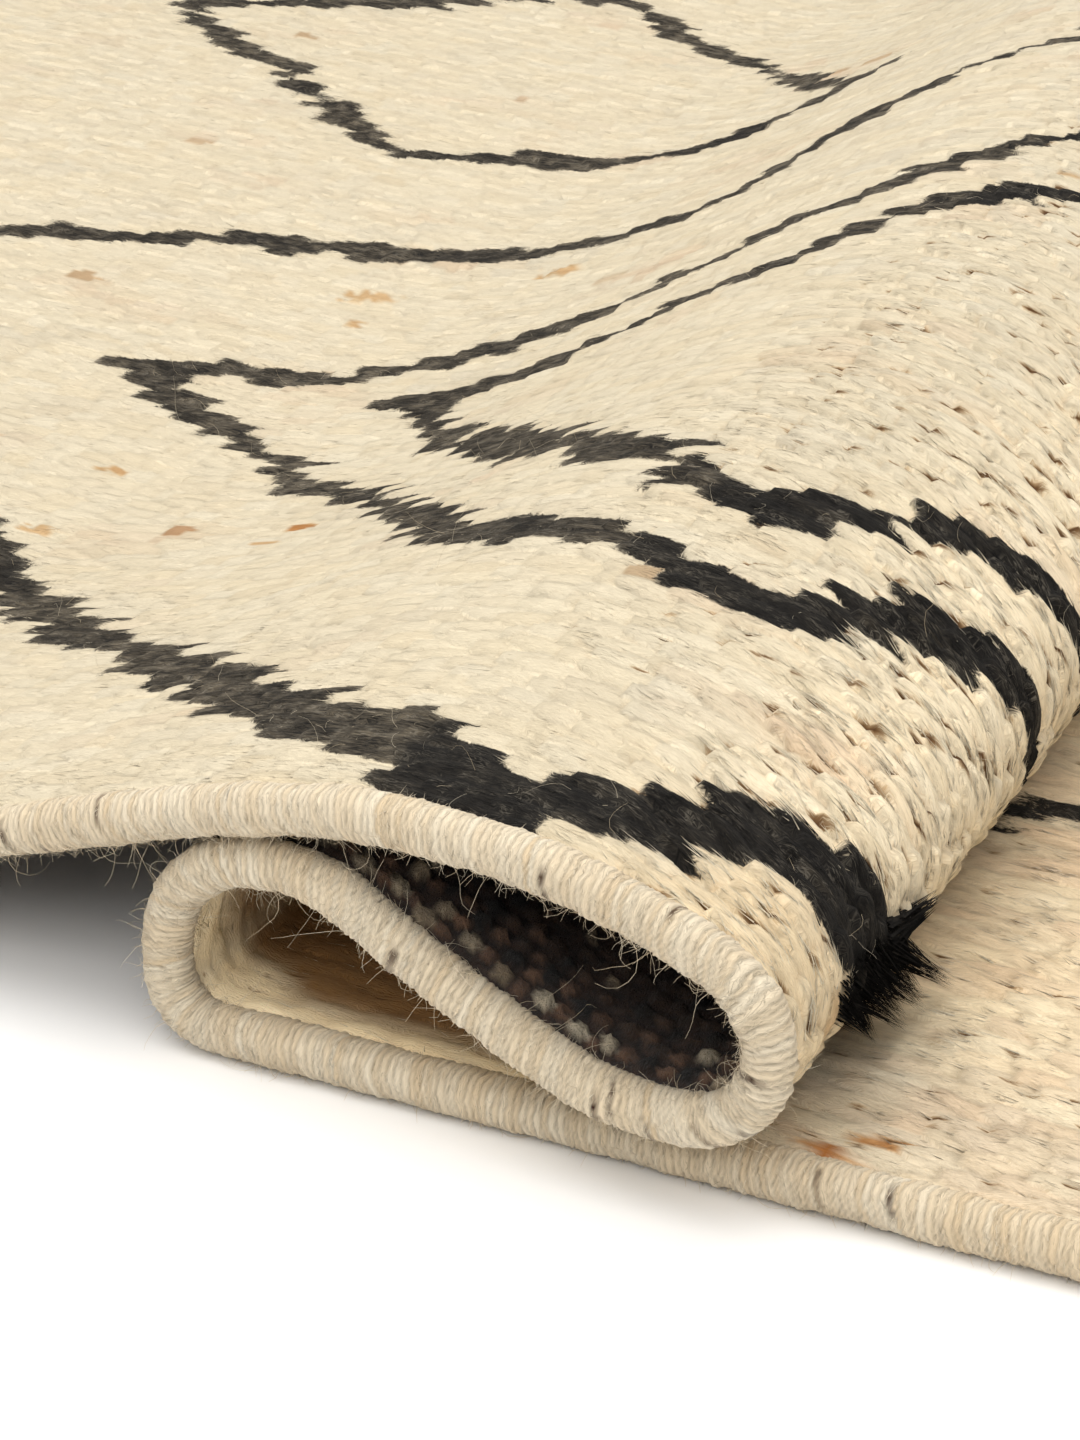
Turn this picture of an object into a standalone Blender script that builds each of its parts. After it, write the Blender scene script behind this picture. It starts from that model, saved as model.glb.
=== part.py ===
"""A cut length of a hand-knotted wool rug, folded back and forth along its selvedge.

The warp runs along X and the weft along Y. The selvedge, a thick overcast cord, faces -Y.
From the right cut end the cloth runs left along the floor, turns up and back over itself to
the right, turns up again and runs left over both layers, down to the floor.
"""

import math

import bmesh
import bpy

# Sizes in metres.
RUG_DEPTH = 0.520        # from the selvedge's inner side to the cut back edge
RIGHT_END_X = 0.150      # where the lower layer's cut end lies
LEFT_END_X = -0.380      # where the upper layer's cut end lies
BACK_THICKNESS = 0.0030  # from the fold line to the knotted back
PILE_THICKNESS = 0.0045  # from the fold line to the tips of the flattened pile
CORD_RADIUS = 0.0035
CORD_GAP = 0.0003        # between the cord and the field that it edges

# The fold line, section by section from the right cut end. Each section is an arc: "length" is
# measured along the cloth in mm, and the next three columns say which way the cloth runs at its
# far end, in degrees from +X, at the selvedge, at the middle station and at the back station.
# "forward" is how far that end of the section has slid towards -Y, in mm. The upper run has no
# length of its own: it reaches the left cut end.
SECTIONS = [
    # name            length  front  middle  back  forward
    ("lower run",        210,   180,    180,  180,   0.0),
    ("lower corner",      12,    96,     96,   96,   0.0),
    ("left side",          7,    79,     79,   79,   0.0),
    ("left shoulder",     16,    26,     26,   26,   0.6),
    ("left brow",         22,   -28,    -28,  -27,   3.0),
    ("middle run",        34,   -19,    -19,  -18,   7.0),
    ("middle foot",       16,     8,      8,    8,   7.9),
    ("lower nose",        21,   114,    106,  104,   8.0),
    ("upper nose",         9,   157,    137,  146,   7.7),
    ("right shoulder",    33,   179,    174,  167,   5.5),
    ("crest",             19,   190,    197,  184,   3.0),
    ("brow",              23,   199,    208,  197,   1.5),
    ("upper slope",       22,   201,    212,  208,   0.5),
    ("middle slope",      30,   195,    207,  210,   0.0),
    ("lower slope",       24,   194,    196,  205,   0.0),
    ("upper foot",        24,   193,    186,  193,   0.0),
    ("lower foot",        22,   189,    180,  180,   0.0),
    ("heel",              20,   180,    180,  180,   0.0),
    ("upper run",       None,   180,    180,  180,   0.0),
]
FIRST_LANDING_SECTION = "crest"  # from here on the slope is eased until the cloth meets the floor
MIDDLE_STATION = 0.160
BACK_STATION_START = 0.096
BACK_STATION = 0.380

DEPTH_RIBS = [0.0, 0.020, 0.045, 0.075, 0.110, 0.150, 0.200, 0.260, 0.330, 0.400, 0.460, RUG_DEPTH]
TURN_PER_STEP = 13.0     # degrees of bend between two cross lines of the mesh
LENGTH_PER_STEP = 0.045

PILE_IVORY = (0.86, 0.76, 0.58, 1.0)
CORD_GREIGE = (0.70, 0.61, 0.48, 1.0)


def clear_objects():
    for item in list(bpy.data.objects):
        bpy.data.objects.remove(item, do_unlink=True)


def wool_material(name, colour, roughness):
    material = bpy.data.materials.new(name)
    material.use_nodes = True
    shader = material.node_tree.nodes["Principled BSDF"]
    shader.inputs["Base Color"].default_value = colour
    shader.inputs["Roughness"].default_value = roughness
    shader.inputs["Metallic"].default_value = 0.0
    return material


def smooth_step(value):
    value = min(max(value, 0.0), 1.0)
    return value * value * (3.0 - 2.0 * value)


def end_angles(depth, landing_scale):
    """Direction of the cloth at the end of each section, in degrees, at one depth."""
    to_middle = smooth_step(depth / MIDDLE_STATION)
    to_back = smooth_step((depth - BACK_STATION_START) / (BACK_STATION - BACK_STATION_START))
    first_landing = [row[0] for row in SECTIONS].index(FIRST_LANDING_SECTION)
    angles = []
    for number, (_, _, front, middle, back, _) in enumerate(SECTIONS):
        angle = front + (middle - front) * to_middle
        angle += (back - angle) * to_back
        if number >= first_landing:
            angle = 180.0 + (angle - 180.0) * landing_scale
        angles.append(angle)
    return angles


def step_counts():
    """Number of mesh steps in each section, the same at every depth."""
    counts = []
    previous = (180.0, 180.0, 180.0)
    for _, length, front, middle, back, _ in SECTIONS:
        turn = max(abs(now - before) for now, before in zip((front, middle, back), previous))
        by_turn = math.ceil(turn / TURN_PER_STEP)
        by_length = math.ceil((length or 0.0) * 0.001 / LENGTH_PER_STEP)
        counts.append(max(1, by_turn, by_length))
        previous = (front, middle, back)
    return counts


def fold_line(depth, landing_scale):
    """Points (x, z, angle, forward) of the fold line at one depth, right cut end first."""
    x, z, angle, forward = RIGHT_END_X, BACK_THICKNESS, 180.0, 0.0
    points = [(x, z, math.radians(angle), forward)]
    rows = zip(SECTIONS, end_angles(depth, landing_scale), step_counts())
    for (_, length, _, _, _, end_forward_mm), end_angle, steps in rows:
        reach = x - LEFT_END_X if length is None else length * 0.001
        step = reach / steps
        end_forward = end_forward_mm * 0.001
        for number in range(steps):
            heading = math.radians(angle + (end_angle - angle) * (number + 0.5) / steps)
            x += step * math.cos(heading)
            z += step * math.sin(heading)
            done = (number + 1) / steps
            points.append((x, z, math.radians(angle + (end_angle - angle) * done),
                           forward + (end_forward - forward) * done))
        angle, forward = end_angle, end_forward
    return points


def landed_fold_line(depth):
    """The fold line whose slope is scaled so that the upper run lies on the floor."""
    low, high = 0.3, 3.0
    for _ in range(40):
        scale = (low + high) / 2
        if fold_line(depth, scale)[-1][1] > BACK_THICKNESS:
            low = scale
        else:
            high = scale
    return fold_line(depth, scale)


def offset_point(point, depth, distance):
    """A point beside the fold line, on its pile side where distance is positive."""
    x, z, angle, forward = point
    return (x + distance * math.sin(angle), depth - forward, z - distance * math.cos(angle))


def field_mesh():
    """The knotted field: a pile face and a back face over the same grid, closed at its edges."""
    depths = [CORD_RADIUS + CORD_GAP + rib for rib in DEPTH_RIBS]
    lines = [landed_fold_line(depth) for depth in depths]
    bm = bmesh.new()
    grids = []
    for distance in (PILE_THICKNESS, -BACK_THICKNESS):
        grids.append([[bm.verts.new(offset_point(point, depth, distance)) for point in line]
                      for depth, line in zip(depths, lines)])
    pile, back = grids
    ribs, points = len(pile), len(pile[0])
    for rib in range(ribs - 1):
        for point in range(points - 1):
            for grid in (pile, back):
                bm.faces.new((grid[rib][point], grid[rib][point + 1],
                              grid[rib + 1][point + 1], grid[rib + 1][point]))
    for point in range(points - 1):
        for rib in (0, ribs - 1):
            bm.faces.new((pile[rib][point], pile[rib][point + 1],
                          back[rib][point + 1], back[rib][point]))
    for rib in range(ribs - 1):
        for point in (0, points - 1):
            bm.faces.new((pile[rib][point], pile[rib + 1][point],
                          back[rib + 1][point], back[rib][point]))
    bmesh.ops.recalc_face_normals(bm, faces=bm.faces)
    mesh = bpy.data.meshes.new("rug_field")
    bm.to_mesh(mesh)
    bm.free()
    mesh.shade_smooth()
    mesh.set_sharp_from_angle(angle=math.radians(40))
    return mesh


def make_field():
    field = bpy.data.objects.new("rug_field", field_mesh())
    field.data.materials.append(wool_material("ivory pile", PILE_IVORY, 0.9))
    return field


def make_cord():
    """The overcast selvedge: a round cord that follows the front edge, flush with the back."""
    rise = CORD_RADIUS - BACK_THICKNESS
    line = [offset_point(point, 0.0, rise) for point in landed_fold_line(0.0)]
    curve = bpy.data.curves.new("selvedge_cord", "CURVE")
    curve.dimensions = "3D"
    curve.twist_mode = "MINIMUM"
    curve.bevel_depth = CORD_RADIUS
    curve.bevel_resolution = 2
    curve.use_fill_caps = True
    spline = curve.splines.new("POLY")
    spline.points.add(len(line) - 1)
    for spline_point, place in zip(spline.points, line):
        spline_point.co = (*place, 1.0)
    cord = bpy.data.objects.new("selvedge_cord", curve)
    curve.materials.append(wool_material("overcast wool", CORD_GREIGE, 0.92))
    return cord


def place_at_base_centre(objects):
    """Moves the pieces so that the origin lies under the middle of their common box."""
    bpy.context.view_layer.update()
    corners = [corner for item in objects for corner in item.bound_box]
    middle = [(min(c[axis] for c in corners) + max(c[axis] for c in corners)) / 2 for axis in (0, 1)]
    for item in objects:
        item.location = (-middle[0], -middle[1], 0.0)


def build():
    clear_objects()
    objects = [make_field(), make_cord()]
    for item in objects:
        bpy.context.scene.collection.objects.link(item)
    place_at_base_centre(objects)


build()
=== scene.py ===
import math

import bpy
import numpy as np
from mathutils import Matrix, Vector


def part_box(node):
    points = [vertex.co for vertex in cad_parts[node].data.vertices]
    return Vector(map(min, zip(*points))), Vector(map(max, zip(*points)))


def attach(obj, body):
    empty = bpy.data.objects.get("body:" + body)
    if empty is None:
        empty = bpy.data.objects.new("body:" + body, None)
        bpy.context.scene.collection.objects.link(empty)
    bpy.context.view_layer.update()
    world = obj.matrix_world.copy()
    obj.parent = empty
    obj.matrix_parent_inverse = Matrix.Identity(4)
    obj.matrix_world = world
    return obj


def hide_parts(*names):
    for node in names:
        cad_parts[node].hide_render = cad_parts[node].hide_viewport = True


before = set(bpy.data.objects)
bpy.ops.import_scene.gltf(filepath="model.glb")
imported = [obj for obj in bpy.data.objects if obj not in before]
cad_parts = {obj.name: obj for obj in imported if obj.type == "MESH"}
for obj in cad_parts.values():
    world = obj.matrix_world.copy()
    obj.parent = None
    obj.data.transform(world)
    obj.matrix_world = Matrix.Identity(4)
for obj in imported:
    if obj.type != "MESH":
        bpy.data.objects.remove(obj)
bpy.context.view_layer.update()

rng = np.random.default_rng(12)
mm = 0.001

# Places are given in rug coordinates: along the selvedge from the lower layer's cut end,
# across from the selvedge, and height above the fold line on the pile side.

fold = {
    "rightEnd": 0.150,
    "leftEnd": -0.380,
    "backThickness": 0.0030,
    "cordRadius": 0.0035,
    "cordGap": 0.0003,
    "depth": 0.520,
    "length": 745,       # of the cloth along the selvedge, mm
    "straightAt": 0.744, # along, in the upper run, where the cloth lies straight
    "middleStation": 0.160,
    "backStart": 0.096,
    "backStation": 0.380,
    "firstLanding": "crest",
}

foldSections = [
    # name, length mm, heading at its end at the selvedge, middle and back station, slide mm
    ("lower run", 210, 180, 180, 180, 0.0),
    ("lower corner", 12, 96, 96, 96, 0.0),
    ("left side", 7, 79, 79, 79, 0.0),
    ("left shoulder", 16, 26, 26, 26, 0.6),
    ("left brow", 22, -28, -28, -27, 3.0),
    ("middle run", 34, -19, -19, -18, 7.0),
    ("middle foot", 16, 8, 8, 8, 7.9),
    ("lower nose", 21, 114, 106, 104, 8.0),
    ("upper nose", 9, 157, 137, 146, 7.7),
    ("right shoulder", 33, 179, 174, 167, 5.5),
    ("crest", 19, 190, 197, 184, 3.0),
    ("brow", 23, 199, 208, 197, 1.5),
    ("upper slope", 22, 201, 212, 208, 0.5),
    ("middle slope", 30, 195, 207, 210, 0.0),
    ("lower slope", 24, 194, 196, 205, 0.0),
    ("upper foot", 24, 193, 186, 193, 0.0),
    ("lower foot", 22, 189, 180, 180, 0.0),
    ("heel", 20, 180, 180, 180, 0.0),
    ("upper run", 260, 180, 180, 180, 0.0),
]
leadIn = 30  # mm of straight run kept before the lower layer's cut end
stationStep = 0.004
stations = np.arange(-0.012, 0.5441, stationStep)


def smoothStep(value):
    value = np.clip(value, 0.0, 1.0)
    return value * value * (3 - 2 * value)


def sectionHeadings(scale):
    toMiddle = smoothStep(stations / fold["middleStation"])
    toBack = smoothStep((stations - fold["backStart"]) / (fold["backStation"] - fold["backStart"]))
    first = [row[0] for row in foldSections].index(fold["firstLanding"])
    headings = [np.full_like(stations, 180.0)]
    for number, (_, _, front, middle, back, _) in enumerate(foldSections):
        angle = front + (middle - front) * toMiddle
        angle = angle + (back - angle) * toBack
        if number >= first:
            angle = 180 + (angle - 180) * scale
        headings.append(angle)
    return headings


def walkFold(scale):
    # one step for each millimetre of cloth, at every station at once
    headings = sectionHeadings(scale)
    middles = [np.full((len(stations), leadIn), 180.0)]
    for number, row in enumerate(foldSections):
        share = (np.arange(row[1]) + 0.5) / row[1]
        start, end = headings[number][:, None], headings[number + 1][:, None]
        middles.append(start + (end - start) * share)
    turn = np.radians(np.concatenate(middles, axis=1))
    zero = np.zeros((len(stations), 1))
    x = np.concatenate([zero, np.cumsum(np.cos(turn), axis=1)], axis=1) * mm
    z = np.concatenate([zero, np.cumsum(np.sin(turn), axis=1)], axis=1) * mm
    return x + fold["rightEnd"] + leadIn * mm, z + fold["backThickness"], turn


low = np.full((len(stations), 1), 0.3)
high = np.full((len(stations), 1), 3.0)
for _ in range(30):
    landing = (low + high) / 2
    above = walkFold(landing[:, 0])[1][:, -1:] > fold["backThickness"]
    low = np.where(above, landing, low)
    high = np.where(above, high, landing)
foldX, foldZ, stepHeading = walkFold(landing[:, 0])
foldHeading = np.concatenate([stepHeading[:, :1], (stepHeading[:, 1:] + stepHeading[:, :-1]) / 2,
                              stepHeading[:, -1:]], axis=1)
sectionEnds = np.cumsum([row[1] for row in foldSections])
foldSlide = np.interp(np.arange(foldX.shape[1]) - leadIn, [0, *sectionEnds],
                      [0] + [row[5] for row in foldSections]) * mm

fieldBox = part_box("rug_field")
shiftX = fieldBox[1].x - fold["rightEnd"]
shiftY = fieldBox[1].y - (fold["cordRadius"] + fold["cordGap"] + fold["depth"])
fieldStart = fold["cordRadius"] + fold["cordGap"]
fieldEnd = fieldStart + fold["depth"]


def lookUp(along, across, *tables):
    column = np.clip(along / mm + leadIn, 0, foldX.shape[1] - 1.001)
    row = np.clip((across - stations[0]) / stationStep, 0, len(stations) - 1.001)
    c = column.astype(int)
    r = row.astype(int)
    u = column - c
    v = row - r
    found = []
    for table in tables:
        near = table[r, c] * (1 - u) + table[r, c + 1] * u
        far = table[r + 1, c] * (1 - u) + table[r + 1, c + 1] * u
        found.append(near * (1 - v) + far * v)
    return found


def place(along, across, height):
    along, across, height = np.broadcast_arrays(along, across, height)
    x, z, heading = lookUp(along, across, foldX, foldZ, foldHeading)
    slide = np.interp(along / mm + leadIn, np.arange(len(foldSlide)), foldSlide)
    return np.stack([x + height * np.sin(heading) + shiftX,
                     across - slide + shiftY,
                     z - height * np.cos(heading)], axis=-1)


def headingAt(along, across):
    return lookUp(along, across, foldHeading)[0]


def unit(vectors):
    return vectors / np.maximum(np.linalg.norm(vectors, axis=-1, keepdims=True), 1e-12)


def surfaceFrame(along, across):
    # the way of the nap, the way across and the way out of the pile
    nap = unit(place(along + 0.001, across, 0.0) - place(along - 0.001, across, 0.0))
    over = unit(place(along, across + 0.002, 0.0) - place(along, across - 0.002, 0.0))
    return nap, over, unit(np.cross(over, nap))


def leftEndAlong(across):
    # how far along the cloth its upper cut end lies
    x, = lookUp(np.full_like(across, fold["straightAt"]), across, foldX)
    return fold["straightAt"] + x - fold["leftEnd"]


def drift(a, b, size, seed):
    # a slow wandering value between about -1 and 1
    waves = np.random.default_rng(seed)
    total = np.zeros(np.broadcast(a, b).shape)
    for _ in range(6):
        angle = waves.uniform(0, 2 * math.pi)
        scale = size * waves.uniform(0.6, 1.7)
        total += np.sin((a * math.cos(angle) + b * math.sin(angle)) * 2 * math.pi / scale
                        + waves.uniform(0, 2 * math.pi))
    return total / 3


print("fold laid")


colours = {
    "ivory": (0.684, 0.594, 0.430),
    "cream": (0.700, 0.632, 0.492),
    "straw": (0.581, 0.440, 0.257),
    "grey": (0.457, 0.415, 0.349),
    "peach": (0.589, 0.423, 0.282),
    "rust": (0.360, 0.145, 0.040),
    "tan": (0.400, 0.248, 0.112),
    "black": (0.0086, 0.0075, 0.0066),
    "weathered": (0.0900, 0.0740, 0.0520),
    "brownBlack": (0.0266, 0.0141, 0.0083),
    # the brown ground in the tufts' partings, with painted shade in their depth
    "gapBrownShade": (0.090, 0.042, 0.017),
    "shade": (0.200, 0.165, 0.115),
    # painted shade deep inside the loops and under the fold
    "loopShade": (0.265, 0.138, 0.046),
    "weft": (0.0706, 0.0349, 0.0208),
    "warp": (0.299, 0.224, 0.141),
    "cord": (0.660, 0.555, 0.400),
    "cordPale": (0.715, 0.630, 0.485),
    "cordStraw": (0.590, 0.445, 0.270),
    "cordBrown": (0.083, 0.0456, 0.0266),
}
colours = {name: np.array(value) for name, value in colours.items()}


def blended(first, second, share):
    share = np.asarray(share)[..., None]
    return first + (second - first) * share


class Wire:
    def __init__(self, finish, socket):
        self.finish = finish
        self.socket = socket

    def limited(self):
        return self.finish.add("ShaderNodeClamp", {}, {"Value": self})

    def maths(self, operation, first, second):
        return self.finish.add("ShaderNodeMath", {"operation": operation}, {0: first, 1: second})

    def __add__(self, other):
        return self.maths("ADD", self, other)

    def __radd__(self, other):
        return self.maths("ADD", other, self)

    def __sub__(self, other):
        return self.maths("SUBTRACT", self, other)

    def __rsub__(self, other):
        return self.maths("SUBTRACT", other, self)

    def __mul__(self, other):
        return self.maths("MULTIPLY", self, other)

    def __rmul__(self, other):
        return self.maths("MULTIPLY", other, self)


class Finish:
    def __init__(self, name, **fixed):
        self.material = bpy.data.materials.new(name)
        self.material.use_nodes = True
        self.nodes = self.material.node_tree.nodes
        self.links = self.material.node_tree.links
        self.shader = self.nodes["Principled BSDF"]
        for socketName, value in fixed.items():
            self.shader.inputs[socketName.replace("_", " ")].default_value = value

    def add(self, kind, settings, sockets, output=0):
        node = self.nodes.new(kind)
        for key, value in settings.items():
            setattr(node, key, value)
        for key, value in sockets.items():
            if isinstance(value, Wire):
                self.links.new(value.socket, node.inputs[key])
            else:
                node.inputs[key].default_value = value
        return Wire(self, node.outputs[output])

    def feed(self, socketName, wire):
        self.links.new(wire.socket, self.shader.inputs[socketName])

    def attribute(self, name, output="Vector"):
        return self.add("ShaderNodeAttribute", {"attribute_name": name}, {}, output)

    def part(self, vector, axis):
        return self.add("ShaderNodeSeparateXYZ", {}, {0: vector}, axis)

    def stretched(self, vector, x, y, z):
        return self.add("ShaderNodeVectorMath", {"operation": "MULTIPLY"}, {0: vector, 1: (x, y, z)})

    def noise(self, vector, detail=2.0, roughness=0.5):
        return self.add("ShaderNodeTexNoise", {}, {"Vector": vector, "Scale": 1.0,
                                                   "Detail": detail, "Roughness": roughness})

    def shaded(self, colour, amount):
        return self.add("ShaderNodeVectorMath", {"operation": "SCALE"}, {0: colour, "Scale": amount})

    def warmed(self, colour, amount):
        # the warmer, darker tone of wool in its own shade
        return self.stretched(colour, amount, amount * 0.88, amount * 0.72)

    def mixed(self, factor, first, second):
        return self.add("ShaderNodeMix", {"data_type": "RGBA"}, {0: factor, 6: first, 7: second}, 2)

    def hairLines(self, strand, fineness, slant, sharpness):
        # thin wandering lines that run with the strand, leaning a little to one side
        x = self.part(strand, 0)
        y = self.part(strand, 1)
        bent = self.add("ShaderNodeCombineXYZ", {}, {0: x * fineness + y * slant, 1: y * 0.35,
                                                     2: self.part(strand, 2)})
        away = self.add("ShaderNodeMath", {"operation": "ABSOLUTE"}, {0: self.noise(bent, 1.0) - 0.5})
        return (1 - away * sharpness).limited()

    def bumped(self, height, strength, distance):
        return self.add("ShaderNodeBump", {}, {"Height": height, "Strength": strength,
                                               "Distance": distance})


def strayFinish():
    # loose hairs: soft streaks along each, in the colour and in the surface
    finish = Finish("stray_fibre_wool", Specular_IOR_Level=0.3)
    strand = finish.attribute("strand")
    tint = finish.attribute("tint", "Color")
    fine = finish.noise(finish.stretched(strand, 1 / 0.4, 0.07 / 0.4, 1.0), 2.0, 0.6)
    broad = finish.noise(finish.stretched(strand, 0.3 / 0.4, 0.03 / 0.4, 1.7), 2.0, 0.6)
    streak = fine * 0.7 + broad * 0.3
    colour = finish.shaded(tint, 0.9 + streak * 0.2)
    darkHair = ((fine - 0.62) * 8.0).limited() * 0.45
    finish.feed("Base Color", finish.mixed(darkHair, colour, finish.shaded(tint, 0.5)))
    finish.feed("Roughness", 0.6 + streak * 0.2)
    finish.feed("Normal", finish.bumped(streak, 0.1, 0.0006))
    return finish.material


def pileFinish():
    # combed pile: ivory and charcoal wool whose fine fibres run with the nap and interlock at borders
    finish = Finish("combed_pile_wool", Sheen_Weight=0.02, Sheen_Roughness=0.5, Specular_IOR_Level=0.08)
    strand = finish.attribute("strand")
    tint = finish.attribute("tint", "Color")
    loose = finish.attribute("tint", "Alpha")
    marks = finish.attribute("marks")
    black = finish.part(marks, 0)
    lot = finish.part(marks, 1)
    gap = finish.part(marks, 2)
    fine = finish.noise(finish.stretched(strand, 4.6, 0.55, 1.0), 3.0, 0.65)
    broad = finish.noise(finish.stretched(strand, 1.9, 0.26, 1.7), 2.0, 0.6)
    fibre = fine * 0.65 + broad * 0.35
    fringe = finish.noise(finish.stretched(strand, 2.6, 0.75, 1.0), 3.0, 0.65)
    mask = ((black - 0.5) * 2.6 + (fringe - 0.5) * 3.4 + (fine - 0.5) * 1.6 + 0.5).limited()
    leftHair = finish.hairLines(strand, 2.3, 0.6, 26)
    rightHair = finish.hairLines(strand, 2.6, -0.8, 28)
    light = finish.shaded(tint, 1.01 + (fibre - 0.5) * (loose * 0.4 + 0.24))
    speck = ((finish.noise(finish.stretched(strand, 1.5, 0.42, 1.3), 3.0, 0.7) - 0.60) * 9.0).limited()
    light = finish.mixed(speck * (loose * 0.2 + 0.26), light, finish.warmed(tint, 0.60))
    tanHair = ((fine - 0.60) * 8.0).limited() * (loose * 0.4 + 0.14)
    light = finish.mixed(tanHair, light, finish.warmed(tint, 0.74))
    light = finish.mixed(leftHair * (loose * 0.16 + 0.10), light, finish.warmed(tint, 0.62))
    light = finish.mixed(rightHair * 0.45, light, finish.shaded(tint, 1.18))
    # the partings: brown ground that shows through, deepened by painted shade
    brown = ((gap - 0.36) * 3.0 + (fine - 0.5) * 4.2 + (broad - 0.5) * 1.6).limited()
    gapTone = finish.mixed((gap * 1.7 - 0.6).limited(), (*colours["tan"], 1), (*colours["gapBrownShade"], 1))
    light = finish.mixed(brown * (gap * 0.9 + 0.25).limited(), light, gapTone)
    patches = ((finish.noise(finish.stretched(strand, 0.42, 0.2, 1.0), 2.0) - 0.44) * 5.0).limited()
    streak = ((fibre - 0.5) * 4.0 + 0.5).limited()
    olive = (lot * (streak * 0.8 + patches * 0.75 - 0.05)).limited()
    dark = finish.mixed(olive, (*colours["black"], 1), (*colours["weathered"], 1))
    paleHair = (leftHair + rightHair).limited() * (patches * 0.7 + 0.08) * (lot * 0.4 + 0.5)
    paleHair = paleHair * ((1.6 - black) * 1.6).limited()
    dark = finish.mixed(paleHair, finish.shaded(dark, 0.45 + streak * 1.1), (0.22, 0.195, 0.155, 1))
    finish.feed("Base Color", finish.mixed(mask, light, dark))
    finish.feed("Roughness", 0.62 + fibre * 0.2)
    finish.feed("Normal", finish.bumped(fibre + leftHair * 0.12 + rightHair * 0.12, 0.7, 0.0006))
    return finish.material


def cordFinish():
    # the cord's wraps of yarn: fine hairs that run round the cord, thin dark ones between them
    finish = Finish("overcast_cord_wool", Sheen_Weight=0.10, Sheen_Roughness=0.5, Specular_IOR_Level=0.12)
    strand = finish.attribute("strand")
    tint = finish.attribute("tint", "Color")
    fine = finish.noise(finish.stretched(strand, 7.0, 0.55, 1.0), 2.0, 0.6)
    broad = finish.noise(finish.stretched(strand, 1.3, 0.2, 1.0), 2.0, 0.6)
    fibre = fine * 0.6 + broad * 0.4
    darkHair = finish.hairLines(strand, 2.2, 0.35, 26) * ((broad - 0.47) * 7.0).limited()
    paleHair = finish.hairLines(strand, 3.2, -0.8, 20)
    colour = finish.shaded(tint, 0.80 + fibre * 0.42)
    colour = finish.mixed(darkHair * 0.55, colour, finish.shaded(tint, 0.32))
    colour = finish.mixed(paleHair * 0.3, colour, finish.shaded(tint, 1.22))
    finish.feed("Base Color", colour)
    finish.feed("Roughness", 0.68 + fine * 0.2)
    finish.feed("Normal", finish.bumped(fibre + paleHair * 0.2 - darkHair * 0.3, 0.6, 0.0005))
    return finish.material


def groundFinish():
    # warps and wefts between the knots, seen in strand coordinates along, across and face
    finish = Finish("ground_weave", Sheen_Weight=0.1, Specular_IOR_Level=0.2)
    strand = finish.attribute("strand")
    tint = finish.attribute("tint", "Color")
    fuzz = finish.noise(finish.stretched(strand, 2.2, 1.4, 1.0), 4.0, 0.7)
    nubs = finish.stretched(strand, 1 / 3.2, 1 / 3.3, 1.0)
    near = finish.add("ShaderNodeTexVoronoi", {}, {"Vector": nubs, "Scale": 1.0, "Randomness": 0.5})
    finish.feed("Base Color", finish.shaded(tint, 0.85 + fuzz * 0.9 - near * 0.7))
    finish.feed("Roughness", 0.8 + fuzz * 0.15)
    finish.feed("Normal", finish.bumped(fuzz - near * 0.6, 0.9, 0.0014))
    return finish.material


pileWool = pileFinish()
cordWool = cordFinish()
strayWool = strayFinish()
groundWeave = groundFinish()

print("finishes made")


def meshPiece(name, points, faces, tint, strand, material, normals=None, marks=None):
    # a piece that rides on the rug; faces is a list of arrays with a row of corners for each face
    mesh = bpy.data.meshes.new(name)
    counts = np.concatenate([np.full(len(group), group.shape[1]) for group in faces])
    corners = np.concatenate([group.ravel() for group in faces])
    mesh.vertices.add(len(points))
    mesh.vertices.foreach_set("co", points.astype(np.float32).ravel())
    mesh.loops.add(len(corners))
    mesh.loops.foreach_set("vertex_index", corners.astype(np.int32))
    mesh.polygons.add(len(counts))
    mesh.polygons.foreach_set("loop_start", np.concatenate([[0], np.cumsum(counts)[:-1]]).astype(np.int32))
    mesh.polygons.foreach_set("use_smooth", np.ones(len(counts), dtype=bool))
    mesh.materials.append(material)
    if tint.shape[1] == 3:
        tint = np.concatenate([tint, np.ones((len(tint), 1))], axis=1)
    colour = mesh.color_attributes.new("tint", "FLOAT_COLOR", "POINT")
    colour.data.foreach_set("color", tint.astype(np.float32).ravel())
    for attribute, values in (("strand", strand), ("marks", marks)):
        if values is not None:
            vector = mesh.attributes.new(attribute, "FLOAT_VECTOR", "POINT")
            vector.data.foreach_set("vector", values.astype(np.float32).ravel())
    mesh.update(calc_edges=True)
    if normals is not None:
        mesh.normals_split_custom_set_from_vertices(unit(normals))
    piece = bpy.data.objects.new(name, mesh)
    bpy.context.scene.collection.objects.link(piece)
    triangles = int((counts - 2).sum())
    print(name, triangles, "triangles")
    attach(piece, "root")
    return piece


def onFloor(points, lowest):
    # what hangs below the rug's back is pressed flat by the floor
    return np.stack([points[..., 0], points[..., 1], np.maximum(points[..., 2], lowest)], axis=-1)


def gridFaces(rows, columns, offset, flip):
    index = np.arange(rows * columns).reshape(rows, columns) + offset
    quads = np.stack([index[:-1, :-1], index[:-1, 1:], index[1:, 1:], index[1:, :-1]], axis=-1)
    quads = quads.reshape(-1, 4)
    return quads[:, ::-1] if flip else quads


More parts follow.
